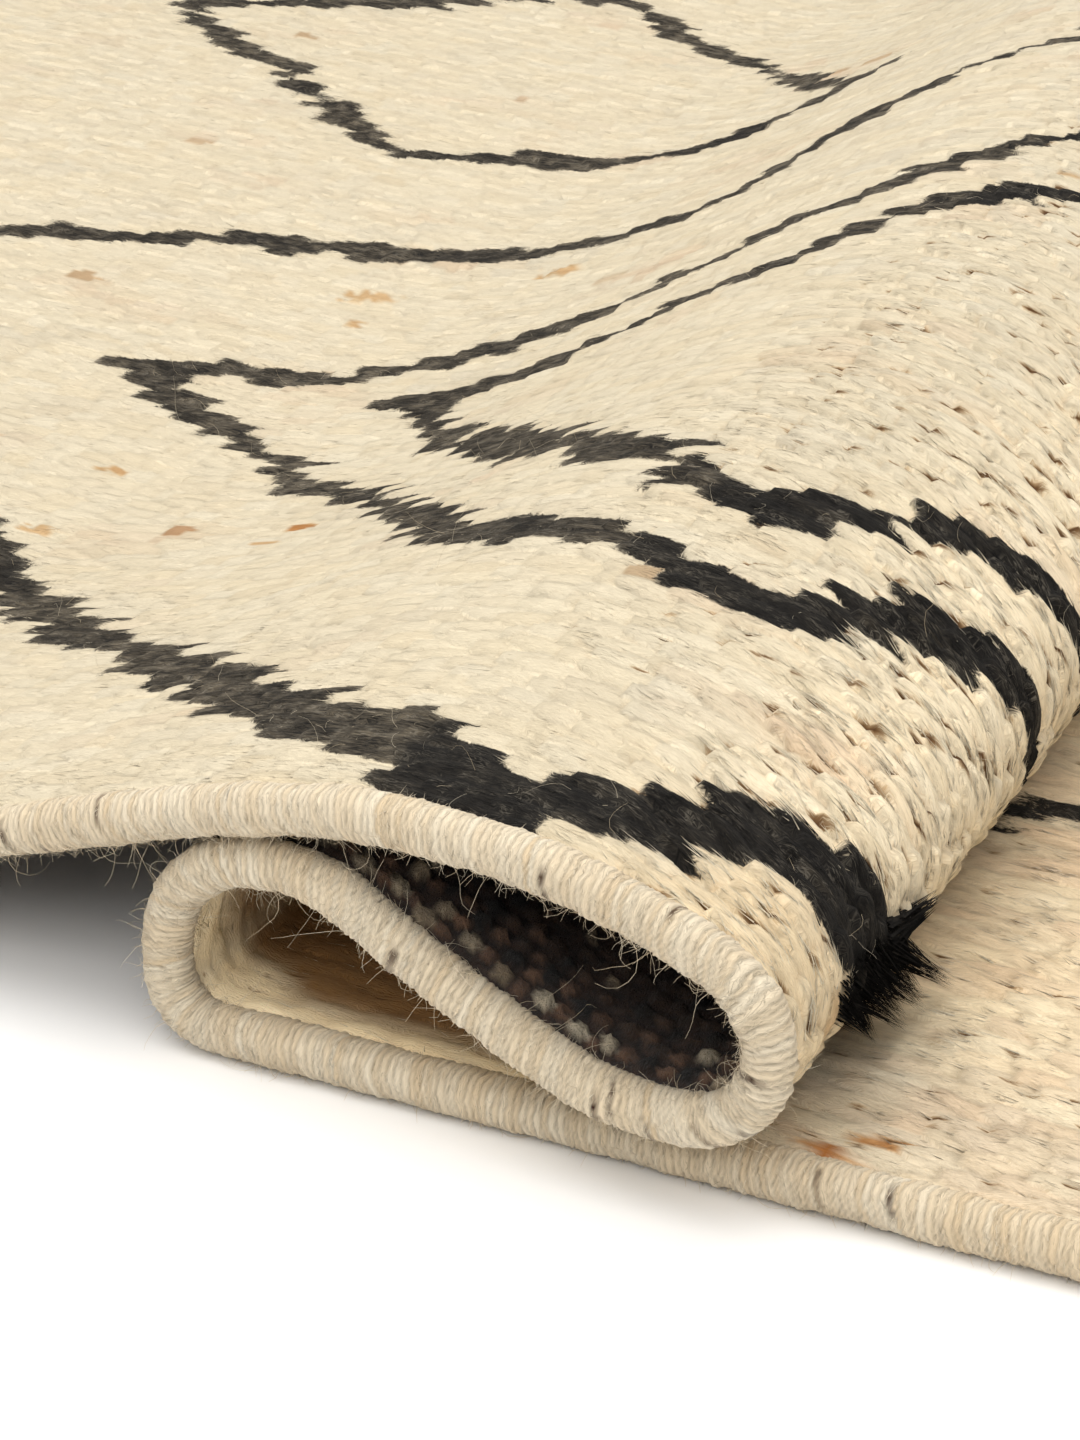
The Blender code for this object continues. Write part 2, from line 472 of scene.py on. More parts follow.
def spikePiece(name, root, tip, half, out, tint, strand, material, marks=None):
    # fine tapering hairs, each a slim pyramid from root to tip that shades like what it lies on
    count = len(root)
    root = onFloor(root, 0.0002)
    tip = onFloor(tip, 0.0002)
    side = unit(np.cross(tip - root, out)) * half[:, None]
    up = out * half[:, None]
    points = np.stack([root - side - up * 0.4, root + side - up * 0.4, root + up * 0.5, tip], axis=1)
    normals = np.repeat((out + rng.normal(0, 0.22, (count, 3)))[:, None, :], 4, axis=1)
    faces = np.array([[0, 1, 2], [0, 2, 3], [2, 1, 3], [1, 0, 3]]) + (np.arange(count) * 4)[:, None, None]
    fibre = np.repeat(strand[:, None, :], 4, axis=1)
    fibre[:, 0, 0] -= 0.2
    fibre[:, 1, 0] += 0.2
    fibre[:, 3, 1] += np.linalg.norm(tip - root, axis=1) / mm
    if marks is not None:
        marks = np.repeat(marks, 4, axis=0)
    meshPiece(name, points.reshape(-1, 3), [faces.reshape(-1, 3)], np.repeat(tint, 4, axis=0),
              fibre.reshape(-1, 3), material, normals=normals.reshape(-1, 3), marks=marks)


def tubes(paths, lift, half, sides):
    # open tubes along paths (n, steps, 3), joined in one mesh: lift is the way up
    count, steps, _ = paths.shape
    tangent = unit(np.gradient(paths, axis=1))
    side = unit(np.cross(tangent, lift))
    up = np.cross(side, tangent)
    turn = 2 * math.pi * (np.arange(sides) + 0.5) / sides
    half = np.broadcast_to(half, (count, steps))[..., None, None]
    side = side[:, :, None, :]
    up = up[:, :, None, :]
    wide = side * (np.cos(turn)[:, None] * half)
    tall = up * (np.sin(turn)[:, None] * half)
    points = (paths[:, :, None, :] + wide + tall).reshape(-1, 3)
    normals = (side * np.cos(turn)[:, None] + up * np.sin(turn)[:, None]).reshape(-1, 3)
    here = (np.arange(count)[:, None, None] * steps + np.arange(steps - 1)[None, :, None]) * sides
    edge = np.arange(sides)[None, None, :]
    nextEdge = (edge + 1) % sides
    corners = np.broadcast_arrays(here + edge, here + sides + edge, here + sides + nextEdge, here + nextEdge)
    walls = np.stack(corners, axis=-1).reshape(-1, 4)
    first = (np.arange(count) * steps * sides)[:, None] + np.arange(sides)
    last = first + (steps - 1) * sides
    return points, [walls, first, last[:, ::-1]], normals


# Nested lozenges: each line has a width and turning points, in millimetres of cloth.

chart = {
    "waver": 1.6,        # how far a line wanders off its course, mm
    "waverSize": 45,
    "thinning": 0.24,    # how much a line's width swells and thins
    "drawnIn": 0.25,     # the tufts spread a line by this much at each side, mm
    "nap": 13.5,         # how far a tuft's visible end lies from its knot, mm
    "dyeLotChange": 395, # knots past this were tied with a weathered, browner charcoal
}

lines = [
    # name, width, turning points (along, across)
    ("wide lozenge, lower left arm", 12.5, [(382, 5), (420, 21), (455, 44)]),
    ("its end on the upper layer", 9.5, [(455, 44), (497, 73), (686, 217)]),
    ("wide lozenge, lower right arm", 12.5, [(382, 5), (362, 19), (336, 27), (170, 84)]),
    ("its end on the lower layer", 9.0, [(170, 84), (131, 97), (-20, 148)]),
    ("wide lozenge, upper left arm", 8.0, [(686, 222), (590, 260), (482, 278), (458, 304), (382, 340)]),
    ("wide lozenge, upper right arm", 8.0, [(382, 340), (180, 270), (-20, 203)]),
    ("middle lozenge, lower left arm", 8.5, [(564, 188), (490, 137), (437, 87), (381, 68)]),
    ("middle lozenge, lower right arm", 8.0, [(381, 68), (345, 87), (120, 174)]),
    ("middle lozenge, upper left arm", 7.5, [(570, 190), (500, 208), (421, 238), (382, 268)]),
    ("middle lozenge, upper right arm", 7.5, [(382, 268), (120, 174)]),
    ("small lozenge, lower left arm", 9.0, [(504, 182), (456, 138), (400, 98), (384, 93)]),
    ("small lozenge, lower right arm", 8.0, [(384, 93), (346, 113), (190, 169)]),
    ("small lozenge, upper left arm", 6.5, [(508, 183), (437, 200), (382, 236)]),
    ("small lozenge, upper right arm", 6.5, [(382, 236), (190, 169)]),
    ("far lozenge, lower left arm", 8.0, [(682, 407), (628, 360), (581, 325)]),
    ("far lozenge, lower right arm", 7.8, [(581, 325), (513, 342), (480, 367)]),
    ("far lozenge, upper left arm", 8.0, [(682, 407), (584, 456)]),
    ("far lozenge, upper right arm", 7.5, [(584, 456), (519, 401), (480, 362)]),
]


def onLine(along, across):
    # how far inside a charted line each knot lies, in mm; above 0 is black
    a = along / mm + chart["waver"] * drift(along / mm, across / mm, chart["waverSize"], 3)
    b = across / mm - 0.8 + chart["waver"] * drift(along / mm, across / mm, chart["waverSize"], 4)
    swell = 1 + chart["thinning"] * drift(along / mm, across / mm, 38, 5)
    inside = np.full(a.shape, -99.0)
    for _, width, points in lines:
        for (a0, b0), (a1, b1) in zip(points, points[1:]):
            length2 = (a1 - a0) ** 2 + (b1 - b0) ** 2
            t = np.clip(((a - a0) * (a1 - a0) + (b - b0) * (b1 - b0)) / length2, 0, 1)
            gapA = a - (a0 + t * (a1 - a0))
            gapB = b - (b0 + t * (b1 - b0))
            inside = np.maximum(inside, width * 0.5 * swell - chart["drawnIn"] - np.hypot(gapA, gapB))
    return inside


knots = {
    "rowPitch": 5.7,       # mm along the cloth
    "columnPitch": 4.0,    # mm across it
    "firstRow": 1.5,       # from the lower layer's cut end
    "lastRow": 752,
    "firstColumn": 1.5,    # the first tufts lean over the cord's inner side
    "rowJitter": 0.9,
    "columnJitter": 0.72,
    "stagger": 0.8,        # every other row is tied a little to one side
}

tuft = {
    "length": 13.5,
    "lengthSpread": 0.09,
    "width": 4.9,
    "base": 3.25,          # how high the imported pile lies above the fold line, mm
    "openBase": 1.75,      # the same where a bend parts the tufts
    "rise": 0.80,          # how much higher a tuft's end lies than its root
    "openRise": 2.3,
    "crown": 0.20,
    "openCrown": 0.62,
    "wander": 5.0,         # how far the nap leans from place to place, degrees
    "tuftLean": 2.4,       # and from tuft to tuft
}

# odd tufts of rust wool: along, across, how far they reach along and across, and how strong they are
rustTufts = [
    (126.6, 2.6, 2.4, 1.6, 0.95),
    (121.2, 7.3, 2.4, 0.9, 0.75),
    (485.8, 120.9, 2.4, 1.3, 0.85),
    (488.0, 113.9, 2.2, 0.8, 0.40),
    (541.0, 243.0, 4.5, 3.0, 0.35),
    (536.0, 228.0, 2.2, 1.2, 0.40),
    (541.0, 147.0, 2.6, 1.2, 0.45),
    (537.0, 119.0, 3.5, 1.4, 0.35),
    (504.6, 257.5, 4.0, 2.4, 0.40),
    (388.0, 238.0, 2.4, 1.2, 0.35),
]


def rusted(tint, along, across):
    stain = colours["rust"] / colours["ivory"]
    ragged = 0.5 * drift(along * 0.7, across * 1.8, 3.2, 51) + 0.3 * drift(along, across * 3.0, 2.2, 52)
    for spotAlong, spotAcross, reachAlong, reachAcross, strength in rustTufts:
        away = np.hypot((along - spotAlong) / reachAlong, (across - spotAcross) / reachAcross) + ragged
        tint = tint * stain ** (strength * smoothStep((1.35 - away) * 1.6))[..., None]
    return tint


rowCount = int(knots["lastRow"] / knots["rowPitch"])
columnCount = int((fieldEnd / mm - knots["firstColumn"]) / knots["columnPitch"])
columnPitch = (fieldEnd / mm - knots["firstColumn"]) / columnCount
knotShape = (rowCount, columnCount)
knotAlong = (knots["firstRow"] + np.arange(rowCount)[:, None] * knots["rowPitch"]
             + rng.uniform(-1, 1, knotShape) * knots["rowJitter"])
knotAcross = (knots["firstColumn"] + (np.arange(columnCount)[None, :] + 0.5) * columnPitch
              + (np.arange(rowCount)[:, None] % 2 - 0.5) * knots["stagger"] * 2
              + rng.uniform(-1, 1, knotShape) * knots["columnJitter"])
knotBlack = onLine((knotAlong + chart["nap"]) * mm, knotAcross * mm) + rng.normal(0, 0.45, knotShape) > 0
tuftLength = tuft["length"] * np.clip(rng.normal(1, tuft["lengthSpread"], knotShape), 0.65, 1.3)
tuftHalf = tuft["width"] / 2 * rng.uniform(0.85, 1.15, knotShape)
tuftLean = np.tan(np.radians(tuft["wander"] * drift(knotAlong, knotAcross, 55, 21)
                             + rng.normal(0, tuft["tuftLean"], knotShape)))
tuftRelief = rng.normal(0, 1, knotShape)
tuftShift = rng.uniform(-0.6, 0.6, knotShape)
gapChance = rng.uniform(0, 1, knotShape)
slitSize = rng.uniform(0.55, 1.15, knotShape)
slitSide = rng.uniform(-0.9, 0.9, knotShape)


def knotTones():
    a = knotAlong
    b = knotAcross
    tone = blended(colours["ivory"], colours["cream"], rng.uniform(0, 0.6, knotShape))
    tone = blended(tone, colours["straw"], np.clip(rng.normal(0.06, 0.05, knotShape), 0, 0.25))
    greyPatch = np.clip(drift(a, b * 2.4, 60, 11) - 0.55, 0, 1) * 0.22
    onLower = (a < 150) * np.clip(0.7 + drift(a, b * 3, 30, 12), 0, 1)
    greyPatch = np.maximum(greyPatch, onLower * 0.15)
    tone = blended(tone, colours["peach"], onLower * rng.uniform(0.0, 0.5, knotShape))
    tone = blended(tone, colours["grey"], greyPatch * rng.uniform(0.5, 1, knotShape))
    peachPatch = np.clip(drift(a, b * 2.0, 70, 13) - 0.5, 0, 1)
    tone = blended(tone, colours["peach"], peachPatch * rng.uniform(0, 0.65, knotShape))
    rare = rng.uniform(0, 1, knotShape)
    accent = ((rare < 0.0012) | ((rare < 0.04) & (peachPatch > 0.3))) & (a > 150)
    accentTone = blended(colours["rust"], colours["tan"], rng.uniform(0.2, 1, accent.sum()))
    tone[accent] = blended(tone[accent], accentTone, rng.uniform(0.25, 0.85, accent.sum()))
    return tone * rng.normal(1, 0.015, knotShape)[..., None]


knotTone = knotTones()


def lotAt(along, across):
    # how weathered the charcoal is: the knots of a second dye lot are browner and paler
    change = smoothStep((along - chart["dyeLotChange"] + 3 * drift(along, across, 20, 14)) / 5)
    return change * np.clip(0.7 + 0.4 * drift(along, across, 35, 15), 0, 1)


def opennessAt(along, across):
    # 0 where the pile lies packed, 1 where a bend parts the tufts
    turn = headingAt((along + 9) * mm, across * mm) - headingAt((along - 20) * mm, across * mm)
    return smoothStep((turn - 0.12) / 0.65)


def tuftNear(along, across, openness, behind, beside):
    # the tuft tied so many rows behind and columns beside each place, and where the place lies on it
    row = np.floor((along - knots["firstRow"]) / knots["rowPitch"]).astype(int) + 1 - behind
    column = np.floor((across - knots["firstColumn"]) / columnPitch).astype(int) + beside
    inside = (row >= 0) & (row < rowCount) & (column >= 0) & (column < columnCount)
    r = np.clip(row, 0, rowCount - 1)
    c = np.clip(column, 0, columnCount - 1)
    reach = (along - knotAlong[r, c]) / tuftLength[r, c]
    offset = across - knotAcross[r, c] - tuftLean[r, c] * (along - knotAlong[r, c])
    taper = (1 - (0.34 + 0.34 * openness) * smoothStep((reach - 0.60 + 0.14 * openness) / 0.5)
             - 0.25 * openness * (1 - smoothStep(reach / 0.35)))
    return inside & (reach > 0), r, c, reach, offset, taper


def loosenessAt(along, across):
    return np.maximum(opennessAt(along, across), 0.32 * smoothStep((300 - along) / 15) + 0.06)


def combPile(along, across):
    # the uppermost tuft at each place: the pile's height there, that tuft and the place within it
    openness = loosenessAt(along, across)
    base = tuft["base"] + (tuft["openBase"] - tuft["base"]) * openness
    rise = tuft["rise"] + (tuft["openRise"] - tuft["rise"]) * openness
    crown = tuft["crown"] + (tuft["openCrown"] - tuft["crown"]) * openness
    height = base - crown * 0.5
    found = {"row": np.zeros(along.shape, int), "column": np.zeros(along.shape, int),
             "reach": np.zeros(along.shape), "side": np.ones(along.shape), "fibre": across.copy()}
    for behind in range(5):
        for beside in (-1, 0, 1):
            inside, r, c, reach, offset, taper = tuftNear(along, across, openness, behind, beside)
            side = offset / (tuftHalf[r, c] * taper)
            over = np.maximum(np.abs(side) - 1, 0)
            ending = np.maximum(reach - 0.84, 0) / 0.16
            level = (base + rise * reach - crown * (side * side + 3 * over)
                     - (0.16 + 0.22 * openness) * ending ** 2
                     + tuftRelief[r, c] * (0.05 + 0.13 * openness))
            better = inside & (reach < 1) & (level > height)
            height = np.where(better, level, height)
            for key, value in (("row", r), ("column", c), ("reach", reach), ("side", side)):
                found[key] = np.where(better, value, found[key])
            fibre = knotAcross[r, c] + tuftShift[r, c] + offset / np.maximum(taper, 0.45)
            found["fibre"] = np.where(better, fibre, found["fibre"])
    return height, openness, found


def partingAt(along, across, openness, found):
    # round the tufts' ends: slits where the brown ground shows, darkened further as painted shade in their
    # depth, and the soft line of shade beside them
    near = np.full(along.shape, 9.0)
    slit = np.zeros(along.shape)
    for behind in range(1, 4):
        for beside in (-1, 0, 1):
            inside, r, c, reach, offset, taper = tuftNear(along, across, openness, behind, beside)
            beyond = np.maximum(np.abs(offset) - tuftHalf[r, c] * taper, 0)
            past = (reach - 1) * tuftLength[r, c]
            ahead = inside & (reach > found["reach"] + 0.08) & (reach > 0.45) & (reach < 1.04)
            near = np.where(ahead, np.minimum(near, beyond), near)
            near = np.where(inside & (past > 0) & (beyond < 0.3), np.minimum(near, past), near)
            size = slitSize[r, c] * (0.55 + 0.45 * openness)
            forward = (past - 0.6) / (3.3 * size)
            narrowing = 1 - 0.45 * np.clip(forward, -1, 1)
            aside = (offset - slitSide[r, c] * tuftHalf[r, c]) / (0.74 * size * narrowing)
            shape = np.clip(1.3 - 0.2 * forward - np.hypot(forward, aside), 0, 1)
            share = 0.05 + 0.75 * openness ** 1.5 + 0.18 * (along < 140)
            shown = smoothStep((share - gapChance[r, c]) / 0.12)
            slit = np.maximum(slit, (reach > 0) * shape * shown)
    slit = slit * (0.45 + 0.55 * smoothStep(openness * 2))
    return slit, np.clip(1 - near / (0.5 + 0.3 * openness), 0, 1)


def edgedPile(height, along, across):
    # the pile comes down to the ground at the cut edges and onto the cord along the selvedge
    left = leftEndAlong(across * mm) / mm
    near = np.minimum(np.minimum(along, left + 2 - along), fieldEnd / mm + 0.8 - across)
    height = 0.3 + (height - 0.3) * smoothStep((near + 0.4) / 3.2)
    return 2.5 + (height - 2.5) * smoothStep((across - 0.9) / 1.9)


pileBands = [
    # name, from, to and step along the cloth in mm
    ("pile_lower_layer", 0, 120, 1.25),
    ("pile_under_fold", 120, 215, 3.2),
    ("pile_middle_layer", 215, 300, 1.9),
    ("pile_shoulder", 300, 400, 0.8),
    ("pile_crest", 400, 480, 1.1),
    ("pile_slope", 480, 575, 1.4),
    ("pile_foot", 575, 665, 1.6),
    ("pile_upper_run", 665, None, 1.8),
]


def spacedLines(start, end, spacing):
    # lines from start to end, each as far from the last one as spacing says there, in mm
    lines = [start]
    while lines[-1] < end:
        lines.append(lines[-1] + spacing(lines[-1]))
    lines = np.array(lines)
    return start + (lines - start) * (end - start) / (lines[-1] - start)


# the parts that lie in the fold's shade are tinted lighter, by these shares of their colour
lighter = {
    "lower": np.array([0.24, 0.18, 0.09]),
    "lowerByCord": np.array([0.10, 0.08, 0.06]),
    "nose": np.array([0.36, 0.33, 0.29]),
    "noseByCord": np.array([0.23, 0.14, 0.02]),
    "loopFront": np.array([0.46, 0.40, 0.27]),
}


def shadeOffset(tint, along, across, onLower):
    onNose = smoothStep((along - 305) / 10) * smoothStep((380 - along) / 40)
    nearCord = 1 - smoothStep((across - 14) / 26)
    gain = onLower[..., None] * blended(lighter["lower"], lighter["lowerByCord"], nearCord)
    gain = gain + onNose[..., None] * blended(lighter["nose"], lighter["noseByCord"], nearCord)
    return tint * (1 + gain)


def loopLightAndShade(tint, along, across):
    # painted light makes the mouths of the loops pale, and painted shade turns the pile brown further in
    inLoop = smoothStep((along - 214) / 12) * smoothStep((300 - along) / 12)
    underFold = smoothStep((along - 140) / 15) * smoothStep((222 - along) / 6)
    underFrom = 2.5 + 7 * smoothStep((along - 200) / 10)
    shadedDeepIn = np.maximum(inLoop * smoothStep((across - 7) / 11),
                        underFold * smoothStep((across - underFrom) / 7))
    litFront = np.maximum(inLoop, underFold) * (1 - shadedDeepIn)
    tint = tint * (1 + litFront[..., None] * lighter["loopFront"])
    return blended(tint, colours["loopShade"], 0.94 * shadedDeepIn)


def layPile():
    # the mesh is fine along the selvedge and coarser towards the back
    across = spacedLines(1.2, fieldEnd / mm + 0.8, lambda line: 0.65 + 1.35 * smoothStep((line - 150) / 150))
    left = leftEndAlong(across * mm) / mm + 2
    bandRows = []
    for _, start, end, step in pileBands:
        count = round(((end or fold["length"]) - start) / step)
        share = (np.arange(count) / count)[:, None]
        stop = np.broadcast_to(left if end is None else end, left.shape)
        bandRows.append(start + share * (stop - start)[None, :])
    along = np.concatenate([*bandRows, left[None, :]])
    across = np.broadcast_to(across, along.shape)
    height, openness, found = combPile(along, across)
    r, c = found["row"], found["column"]
    side, reach = found["side"], found["reach"]
    gap, edge = partingAt(along, across, openness, found)
    height = height - gap * (0.15 + 0.5 * openness) - edge * (0.05 + 0.15 * openness)
    black = knotBlack[r, c].astype(float)
    soft = sum(weight * np.roll(black, shift, axis=0)
               for shift, weight in ((-2, 0.1), (-1, 0.22), (0, 0.36), (1, 0.22), (2, 0.1)))
    # painted shade: each tuft is darker towards its sides and towards its root
    depth = 1 - (0.10 + 0.12 * openness) * np.clip(np.abs(side), 0, 1.3) ** 2 - 0.05 * (1 - reach)
    tint = knotTone[r, c] * depth[..., None]
    # painted shade: tan along the soft line of shade round the tufts' ends, stronger on one side
    tint = blended(tint, colours["tan"], edge * (0.05 + 0.20 * openness) * np.where(side < 0, 1.0, 0.6))
    onLower = smoothStep((160 - along) / 20)
    tint = shadeOffset(tint, along, across, onLower)
    tint = blended(tint, colours["shade"], onLower * edge * 0.24)
    tint = loopLightAndShade(rusted(tint, along, across), along, across)
    tint = np.concatenate([tint, np.maximum(openness, 0.9 * onLower)[..., None]], axis=-1)
    height = edgedPile(height, along, across)
    points = place(along * mm, across * mm, height * mm)
    strand = np.stack([found["fibre"], along, drift(along, across, 90, 22) * 2], axis=-1)
    lot = np.clip(lotAt(along, across) + 0.10 * np.abs(tuftRelief[r, c]), 0, 1)
    marks = np.stack([soft, lot, gap], axis=-1)
    first = 0
    for (name, *_), rows in zip(pileBands, bandRows):
        last = first + len(rows)
        part = slice(first, last + 1)
        grid = points[part].shape[:2]
        meshPiece(name, points[part].reshape(-1, 3), [gridFaces(*grid, 0, False)],
                  tint[part].reshape(-1, 4), strand[part].reshape(-1, 3), pileWool,
                  marks=marks[part].reshape(-1, 3))
        first = last


layPile()

ends = {
    "width": 0.22,
    "borderCount": 10,    # fine ends drawn out of each tuft along a colour border
    "openCount": 11,      # and where a bend parts the tufts
    "plainCount": 1,
    "cordCount": 16,      # along the upper layer's selvedge
    "mouthCount": 17,     # where the fold opens widest
    "lowerCount": 6,
    "lowerFrontCount": 11,
    "behindCount": 5,     # at most, further back
    "backCount": 3,
    "splayCount": 120,
    "splayWidth": 0.6,
}


def drawEnds():
    # fine tapering ends, drawn out of the tufts so that they overlap what lies beyond
    border = np.zeros(knotShape, dtype=bool)
    for rowShift, columnShift in ((-1, 0), (-2, 0), (-3, 0), (0, 1), (0, -1), (-1, 1), (-1, -1)):
        border |= np.roll(knotBlack, (rowShift, columnShift), axis=(0, 1)) != knotBlack
    openness = opennessAt(knotAlong + 12, knotAcross)
    left = leftEndAlong(knotAcross * mm) / mm
    shown = (knotAlong < left - 2) & ((knotAlong < 118) | (knotAlong > 300) | (knotAcross < 45))
    many = np.where(openness > 0.3, ends["openCount"], ends["plainCount"])
    many = np.where(border, ends["borderCount"], many)
    many = np.where((knotAcross < 12) & (knotAlong > 300), ends["cordCount"], many)
    many = np.where((openness > 0.75) & (knotAcross < 110), ends["mouthCount"], many)
    lower = (knotAlong < 105) & (knotAcross < 200)
    lowerFront = (knotAlong > 35) & (knotAlong < 118) & (knotAcross < 90)
    many = np.where(lower, np.maximum(many, ends["lowerCount"]), many)
    many = np.where(lowerFront, np.maximum(many, ends["lowerFrontCount"]), many)
    many = np.where(knotAcross > 130, np.minimum(many, ends["behindCount"]), many)
    many = np.where(knotAcross > 230, np.minimum(many, ends["backCount"]), many)
    many = np.where(shown, many, 0)
    pick = np.unravel_index(np.repeat(np.arange(many.size), many.ravel()), knotShape)
    count = len(pick[0])
    length = tuftLength[pick]
    start = rng.uniform(0.50, 0.85, count)
    stop = start + rng.uniform(0.14, 0.32, count)
    spread = rng.uniform(-1, 1, count) * tuftHalf[pick]
    openHere = openness[pick]
    rootAlong = knotAlong[pick] + start * length
    tipAlong = np.minimum(knotAlong[pick] + stop * length, left[pick] + 4)
    rootAcross = knotAcross[pick] + tuftLean[pick] * start * length + spread * 0.85
    tipAcross = (knotAcross[pick] + tuftLean[pick] * stop * length + spread * rng.uniform(0.4, 0.95, count)
                 + rng.normal(0, 0.4, count))
    middle = combPile((rootAlong + tipAlong) / 2, (rootAcross + tipAcross) / 2)[0]
    rootHeight = np.minimum(combPile(rootAlong, rootAcross)[0], middle) - 0.12
    tipHeight = np.maximum(combPile(tipAlong, tipAcross)[0], middle - 0.35)
    tipHeight = tipHeight + rng.uniform(0.02, 0.22, count) + 0.25 * openHere
    root = place(rootAlong * mm, rootAcross * mm, edgedPile(rootHeight, rootAlong, rootAcross) * mm)
    tip = place(tipAlong * mm, tipAcross * mm, edgedPile(tipHeight, tipAlong, tipAcross) * mm)
    out = surfaceFrame(rootAlong * mm, rootAcross * mm)[2]
    half = ends["width"] / 2 * rng.uniform(0.6, 1.3, count) * mm
    tint = np.clip(knotTone[pick] * rng.normal(1.0, 0.08, count)[:, None], 0.005, 0.9)
    shaded = (rootAlong < 120) * (rng.uniform(0, 1, count) < 0.22) * rng.uniform(0.2, 0.8, count)
    tint = rusted(blended(tint, colours["shade"], shaded), tipAlong, tipAcross)
    tint = np.concatenate([tint, openHere[:, None]], axis=1)
    strand = np.stack([rootAcross, rootAlong, 0 * rootAlong], axis=1)
    black = np.where(knotBlack[pick], 1.6, -0.6)
    marks = np.stack([black, lotAt(tipAlong, tipAcross), 0 * rootAlong], axis=1)
    for name, low, high in (("tuft_ends_lower", -50, 290), ("tuft_ends_shoulder", 290, 440),
                            ("tuft_ends_upper", 440, 900)):
        part = (knotAlong[pick] >= low) & (knotAlong[pick] < high)
        spikePiece(name, root[part], tip[part], half[part], out[part], tint[part], strand[part], pileWool,
                   marks=marks[part])


# charcoal tufts that the fold presses out over the lower layer
splays = [
    # root along and across, tip along and across, mm
    (333, 17, 129.0, 27.5),
    (333, 21, 126.5, 31.6),
    (333, 24, 127.0, 34.0),
    (332.5, 27, 125.6, 37.1),
    (332.5, 30, 127.0, 40.0),
    (332, 33, 124.5, 44.5),
    (333, 33, 332.0, 48.5),
]


def drawSplays():
    rootAlong, rootAcross, tipAlong, tipAcross = np.repeat(np.array(splays), ends["splayCount"], axis=0).T
    count = len(rootAlong)
    root = place((rootAlong + rng.uniform(-2, 2, count)) * mm,
                 (rootAcross + rng.uniform(-2.6, 2.6, count)) * mm, rng.uniform(1.5, 4.4, count) * mm)
    tip = place((tipAlong + rng.normal(0, 0.35, count)) * mm, (tipAcross + rng.normal(0, 0.35, count)) * mm,
                rng.uniform(3.9, 5.6, count) * mm)
    tip = root + (tip - root) * rng.uniform(0.35, 1.0, count)[:, None] ** 0.8
    tint = np.tile([*colours["brownBlack"], 0.8], (count, 1))
    marks = np.stack([np.full(count, 1.6), rng.uniform(0, 0.12, count), np.zeros(count)], axis=1)
    strand = np.stack([rootAcross, rootAlong, 0 * rootAlong], axis=1) + rng.uniform(0, 9, (count, 1))
    out = np.broadcast_to([0.15, -0.45, 0.88], root.shape)
    half = ends["splayWidth"] / 2 * rng.uniform(0.5, 1.3, count) * mm
    spikePiece("tuft_ends_splayed", root, tip, half, out, tint, strand, pileWool, marks=marks)


drawEnds()
drawSplays()

ground = {
    "face": 0.9,         # mm above the fold line, under the pile
    "back": -1.95,       # its back between the knots
    "nub": 1.25,         # how far a knot stands out of the back
    "nubAlong": 1.5,     # half sizes of a knot at the back
    "nubAcross": 1.7,
    "nubShift": 1.5,     # at the back the first knots lie clear of the cord
    "fineFrom": 255,     # where the fold opens to view its back is modelled finely
    "fineTo": 345,
}


# inside the fold the knots near the wide lozenge's corner are given dark wool, more of them deeper in: partly
# their own dark colour, partly painted shade
inkyShadedBack = ((knotAlong > 225) & (knotAlong < 350) & (knotAcross < 70)
            & (rng.uniform(0, 1, knotShape) < 0.05 + 0.85 * smoothStep((knotAcross - 3) / 6)
               * smoothStep((knotAlong - 258) / 22)))


def backNubs(along, across):
    # how far each knot stands out of the back, and its tone
    height = np.zeros(along.shape)
    roughness = rng.normal(0, 1, along.shape)
    lumps = drift(along, across, 1.9, 42)
    tone = blended(colours["weft"] * 0.8, colours["weft"] * 0.15, rng.uniform(0, 1, along.shape))
    nearRow = np.round((along - knots["firstRow"]) / knots["rowPitch"]).astype(int)
    nearColumn = np.floor((across - knots["firstColumn"] - ground["nubShift"]) / columnPitch).astype(int)
    for rowShift in (-1, 0, 1):
        for columnShift in (-1, 0, 1):
            r = np.clip(nearRow + rowShift, 0, rowCount - 1)
            c = np.clip(nearColumn + columnShift, 0, columnCount - 1)
            beside = across - knotAcross[r, c] - ground["nubShift"]
            brownish = smoothStep(tuftRelief[r, c] * 0.9 + 0.1)
            inky = blended(colours["black"] * 0.9, colours["cordBrown"] * 1.6, brownish)
            # painted shade: the dark knots are darker still deeper inside the fold
            deeperShade = 0.65 * smoothStep((along - 280) / 25) * smoothStep((across - 6) / 10)
            inky = inky * (1 - deeperShade)[..., None]
            knotted = np.where((knotBlack | inkyShadedBack)[r, c][..., None], inky,
                               blended(colours["warp"], knotTone[r, c] * 0.95, gapChance[r, c]))
            crossed = blended(colours["cordBrown"] * 3.2, colours["weft"] * 1.0, slitSize[r, c] - 0.4)
            # painted shade: the crossing nubs darken away from the cord, deeper inside the fold
            crossed = crossed * (1 - 0.70 * smoothStep((across - 8) / 7))[..., None]
            size = np.maximum(0.45 + 0.75 * gapChance[r, c], 1.1 * (c < 2))
            for own, offset, scale in ((knotted, 0, size), (crossed, knots["rowPitch"] / 2, 0.75 * size)):
                away = np.hypot((along - knotAlong[r, c] - offset) / ground["nubAlong"],
                                beside / ground["nubAcross"]) / np.sqrt(scale)
                bump = scale * (0.8 + 0.2 * roughness + 0.3 * lumps) * np.clip(1 - away * away, 0, 1) ** 0.7
                better = bump > height
                shown = smoothStep(bump * 3.0)
                tone = np.where(better[..., None], blended(tone, own, shown), tone)
                height = np.maximum(height, bump)
    return height, tone


def stepFrom(rules):
    # the step of the first rule whose limit lies beyond the line
    return lambda line: next(step for limit, step in rules if line < limit)


